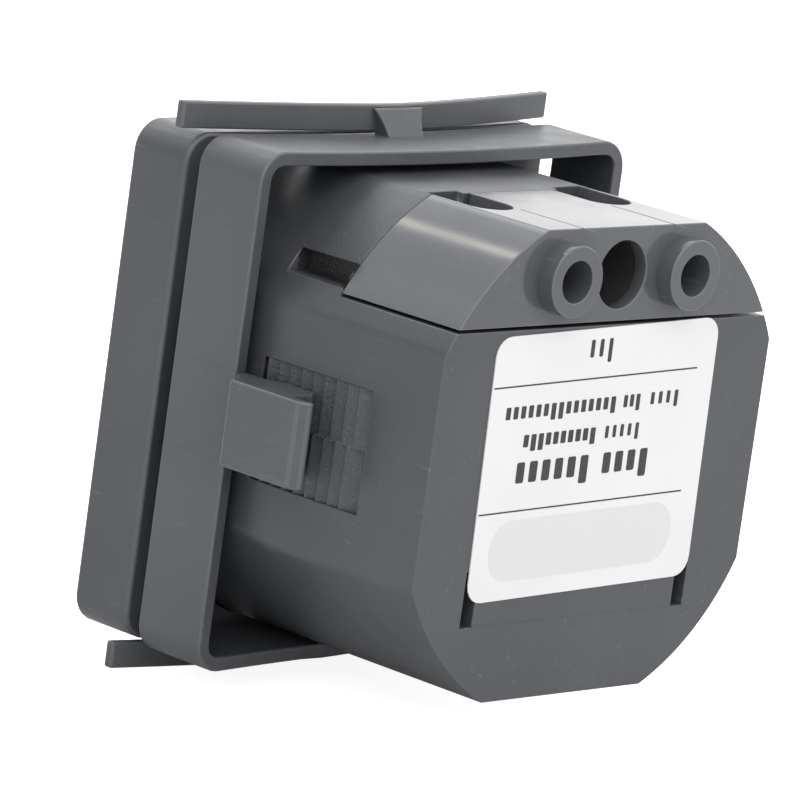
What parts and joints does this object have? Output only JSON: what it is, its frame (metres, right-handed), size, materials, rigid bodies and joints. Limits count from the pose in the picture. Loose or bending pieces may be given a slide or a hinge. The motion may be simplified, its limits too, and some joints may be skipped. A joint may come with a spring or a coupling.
{
  "type": "panel hour meter",
  "caption": "Square panel-mount hour meter with number-wheel counter, synchronous motor, screw terminals under a cover and a ratchet mounting frame.",
  "frame": {"origin": "middle of the bezel's rear face, which seats on the panel", "axes": "+Y from the panel to the rear terminals, +Z towards the terminal cover, +X to the right seen from the front"},
  "size_m": [0.0554, 0.0433, 0.055],
  "materials": {
    "moulded_grey": "satin moulded ABS, fine spark-eroded grain",
    "cover_grey": "polished moulded ABS",
    "frame_grey": "satin moulded nylon",
    "lens_clear": "clear acrylic",
    "dial_black": "matt printed",
    "label_white": "coated paper label with thin printed rules",
    "brass": "stamped brass",
    "zinc_steel": "zinc-plated steel",
    "shaft_steel": "ground steel",
    "acetal": "natural acetal",
    "board_green": "circuit board laminate",
    "capacitor_red": "dipped capacitor",
    "resistor_tan": "lacquered resistor",
    "wire_black": "PVC insulation",
    "wire_red": "PVC insulation",
    "winding_copper": "enamelled copper",
    "magnet_dark": "sintered ferrite",
    "digit_black": "moulded, white figures",
    "digit_red": "moulded, white figures"
  },
  "bodies": {
    "meter_body": {"front_bezel": "moulded_grey", "window_lens": "lens_clear", "dial_plate": "dial_black", "housing": "moulded_grey", "terminal_cover": "cover_grey", "rating_label": "label_white", "terminal_clamp_left": "brass", "terminal_clamp_right": "brass", "circuit_board": "board_green", "dropper_resistor": "resistor_tan", "film_capacitor": "capacitor_red", "supply_leads": "wire_black", "coil_leads": "wire_red", "motor_can": "zinc_steel", "stator_claws": "zinc_steel", "coil_bobbin": "acetal", "coil_winding": "winding_copper", "gear_arbors": "shaft_steel", "gear_plate": "brass", "side_plate_left": "acetal", "side_plate_right": "acetal", "frame_rods": "shaft_steel", "gear_pillars": "shaft_steel", "wheel_shaft": "shaft_steel", "pinion_shaft": "shaft_steel"},
    "mounting_frame": {"mounting_frame": "frame_grey"},
    "latch_left": {"latch_left": "frame_grey"},
    "latch_right": {"latch_right": "frame_grey"},
    "terminal_screw_left": {"terminal_screw_left": "zinc_steel"},
    "terminal_screw_right": {"terminal_screw_right": "zinc_steel"},
    "rotor": {"rotor_magnet": "magnet_dark", "rotor_shaft": "shaft_steel"},
    "gear_1": {"gear_1": "acetal"},
    "gear_2": {"gear_2": "acetal"},
    "gear_3": {"gear_3": "acetal"},
    "drive_gear": {"drive_gear": "acetal"},
    "digit_wheel_1": {"digit_wheel_1": "digit_red"},
    "digit_wheel_2": {"digit_wheel_2": "digit_red"},
    "digit_wheel_3": {"digit_wheel_3": "digit_black"},
    "digit_wheel_4": {"digit_wheel_4": "digit_black"},
    "digit_wheel_5": {"digit_wheel_5": "digit_black"},
    "digit_wheel_6": {"digit_wheel_6": "digit_black"},
    "digit_wheel_7": {"digit_wheel_7": "digit_black"},
    "transfer_pinion_1": {"transfer_pinion_1": "acetal"},
    "transfer_pinion_2": {"transfer_pinion_2": "acetal"},
    "transfer_pinion_3": {"transfer_pinion_3": "acetal"},
    "transfer_pinion_4": {"transfer_pinion_4": "acetal"},
    "transfer_pinion_5": {"transfer_pinion_5": "acetal"},
    "transfer_pinion_6": {"transfer_pinion_6": "acetal"}
  },
  "joints": [
    {"name": "frame_slide", "type": "slide", "parent": "meter_body", "child": "mounting_frame", "axis": [0, 1, 0], "range_m": [-0.0017, 0.034]},
    {"name": "latch_left_flex", "type": "hinge", "parent": "mounting_frame", "child": "latch_left", "pos_m": [-0.02495, 0.01048, 0], "axis": [0, 0, 1], "range_deg": [0, 9], "stiffness_Nm_per_rad": 0.03},
    {"name": "latch_right_flex", "type": "hinge", "parent": "mounting_frame", "child": "latch_right", "pos_m": [0.02495, 0.01048, 0], "axis": [0, 0, -1], "range_deg": [0, 9], "stiffness_Nm_per_rad": 0.03},
    {"name": "screw_left_turn", "type": "hinge", "parent": "meter_body", "child": "terminal_screw_left", "pos_m": [-0.00817, 0.022, 0.02], "axis": [0, 0, 1], "continuous": true},
    {"name": "screw_right_turn", "type": "hinge", "parent": "meter_body", "child": "terminal_screw_right", "pos_m": [0.00817, 0.022, 0.02], "axis": [0, 0, 1], "continuous": true},
    {"name": "rotor_spin", "type": "hinge", "parent": "meter_body", "child": "rotor", "pos_m": [0, 0.01489, -0.00906], "axis": [1, 0, 0], "continuous": true},
    {"name": "gear_1_spin", "type": "hinge", "parent": "meter_body", "child": "gear_1", "pos_m": [0, 0.022, -0.00495], "axis": [1, 0, 0], "continuous": true},
    {"name": "gear_2_spin", "type": "hinge", "parent": "meter_body", "child": "gear_2", "pos_m": [0, 0.01853, 0.00249], "axis": [1, 0, 0], "continuous": true},
    {"name": "gear_3_spin", "type": "hinge", "parent": "meter_body", "child": "gear_3", "pos_m": [0, 0.01108, -0.00098], "axis": [1, 0, 0], "continuous": true},
    {"name": "drive_gear_spin", "type": "hinge", "parent": "meter_body", "child": "drive_gear", "pos_m": [0, 0.0029, 0.002], "axis": [1, 0, 0], "continuous": true},
    {"name": "digit_wheel_1_spin", "type": "hinge", "parent": "meter_body", "child": "digit_wheel_1", "pos_m": [0, 0.0029, 0.002], "axis": [1, 0, 0], "continuous": true},
    {"name": "digit_wheel_2_spin", "type": "hinge", "parent": "meter_body", "child": "digit_wheel_2", "pos_m": [0, 0.0029, 0.002], "axis": [1, 0, 0], "continuous": true},
    {"name": "digit_wheel_3_spin", "type": "hinge", "parent": "meter_body", "child": "digit_wheel_3", "pos_m": [0, 0.0029, 0.002], "axis": [1, 0, 0], "continuous": true},
    {"name": "digit_wheel_4_spin", "type": "hinge", "parent": "meter_body", "child": "digit_wheel_4", "pos_m": [0, 0.0029, 0.002], "axis": [1, 0, 0], "continuous": true},
    {"name": "digit_wheel_5_spin", "type": "hinge", "parent": "meter_body", "child": "digit_wheel_5", "pos_m": [0, 0.0029, 0.002], "axis": [1, 0, 0], "continuous": true},
    {"name": "digit_wheel_6_spin", "type": "hinge", "parent": "meter_body", "child": "digit_wheel_6", "pos_m": [0, 0.0029, 0.002], "axis": [1, 0, 0], "continuous": true},
    {"name": "digit_wheel_7_spin", "type": "hinge", "parent": "meter_body", "child": "digit_wheel_7", "pos_m": [0, 0.0029, 0.002], "axis": [1, 0, 0], "continuous": true},
    {"name": "transfer_pinion_1_spin", "type": "hinge", "parent": "meter_body", "child": "transfer_pinion_1", "pos_m": [0, 0.00153, 0.00978], "axis": [1, 0, 0], "continuous": true},
    {"name": "transfer_pinion_2_spin", "type": "hinge", "parent": "meter_body", "child": "transfer_pinion_2", "pos_m": [0, 0.00153, 0.00978], "axis": [1, 0, 0], "continuous": true},
    {"name": "transfer_pinion_3_spin", "type": "hinge", "parent": "meter_body", "child": "transfer_pinion_3", "pos_m": [0, 0.00153, 0.00978], "axis": [1, 0, 0], "continuous": true},
    {"name": "transfer_pinion_4_spin", "type": "hinge", "parent": "meter_body", "child": "transfer_pinion_4", "pos_m": [0, 0.00153, 0.00978], "axis": [1, 0, 0], "continuous": true},
    {"name": "transfer_pinion_5_spin", "type": "hinge", "parent": "meter_body", "child": "transfer_pinion_5", "pos_m": [0, 0.00153, 0.00978], "axis": [1, 0, 0], "continuous": true},
    {"name": "transfer_pinion_6_spin", "type": "hinge", "parent": "meter_body", "child": "transfer_pinion_6", "pos_m": [0, 0.00153, 0.00978], "axis": [1, 0, 0], "continuous": true}
  ],
  "couplings": [
    {"joint": "gear_1_spin", "follows": "rotor_spin", "ratio": -0.13333},
    {"joint": "gear_2_spin", "follows": "rotor_spin", "ratio": 0.017778},
    {"joint": "gear_3_spin", "follows": "rotor_spin", "ratio": -0.0023704},
    {"joint": "drive_gear_spin", "follows": "rotor_spin", "ratio": 0.00066667},
    {"joint": "digit_wheel_2_spin", "follows": "digit_wheel_1_spin", "ratio": 0.1},
    {"joint": "digit_wheel_3_spin", "follows": "digit_wheel_1_spin", "ratio": 0.01},
    {"joint": "digit_wheel_4_spin", "follows": "digit_wheel_1_spin", "ratio": 0.001},
    {"joint": "digit_wheel_5_spin", "follows": "digit_wheel_1_spin", "ratio": 0.0001},
    {"joint": "digit_wheel_6_spin", "follows": "digit_wheel_1_spin", "ratio": 0.00001},
    {"joint": "digit_wheel_7_spin", "follows": "digit_wheel_1_spin", "ratio": 0.000001},
    {"joint": "transfer_pinion_1_spin", "follows": "digit_wheel_1_spin", "ratio": -0.25},
    {"joint": "transfer_pinion_2_spin", "follows": "digit_wheel_1_spin", "ratio": -0.025},
    {"joint": "transfer_pinion_3_spin", "follows": "digit_wheel_1_spin", "ratio": -0.0025},
    {"joint": "transfer_pinion_4_spin", "follows": "digit_wheel_1_spin", "ratio": -0.00025},
    {"joint": "transfer_pinion_5_spin", "follows": "digit_wheel_1_spin", "ratio": -0.000025},
    {"joint": "transfer_pinion_6_spin", "follows": "digit_wheel_1_spin", "ratio": -0.0000025}
  ]
}
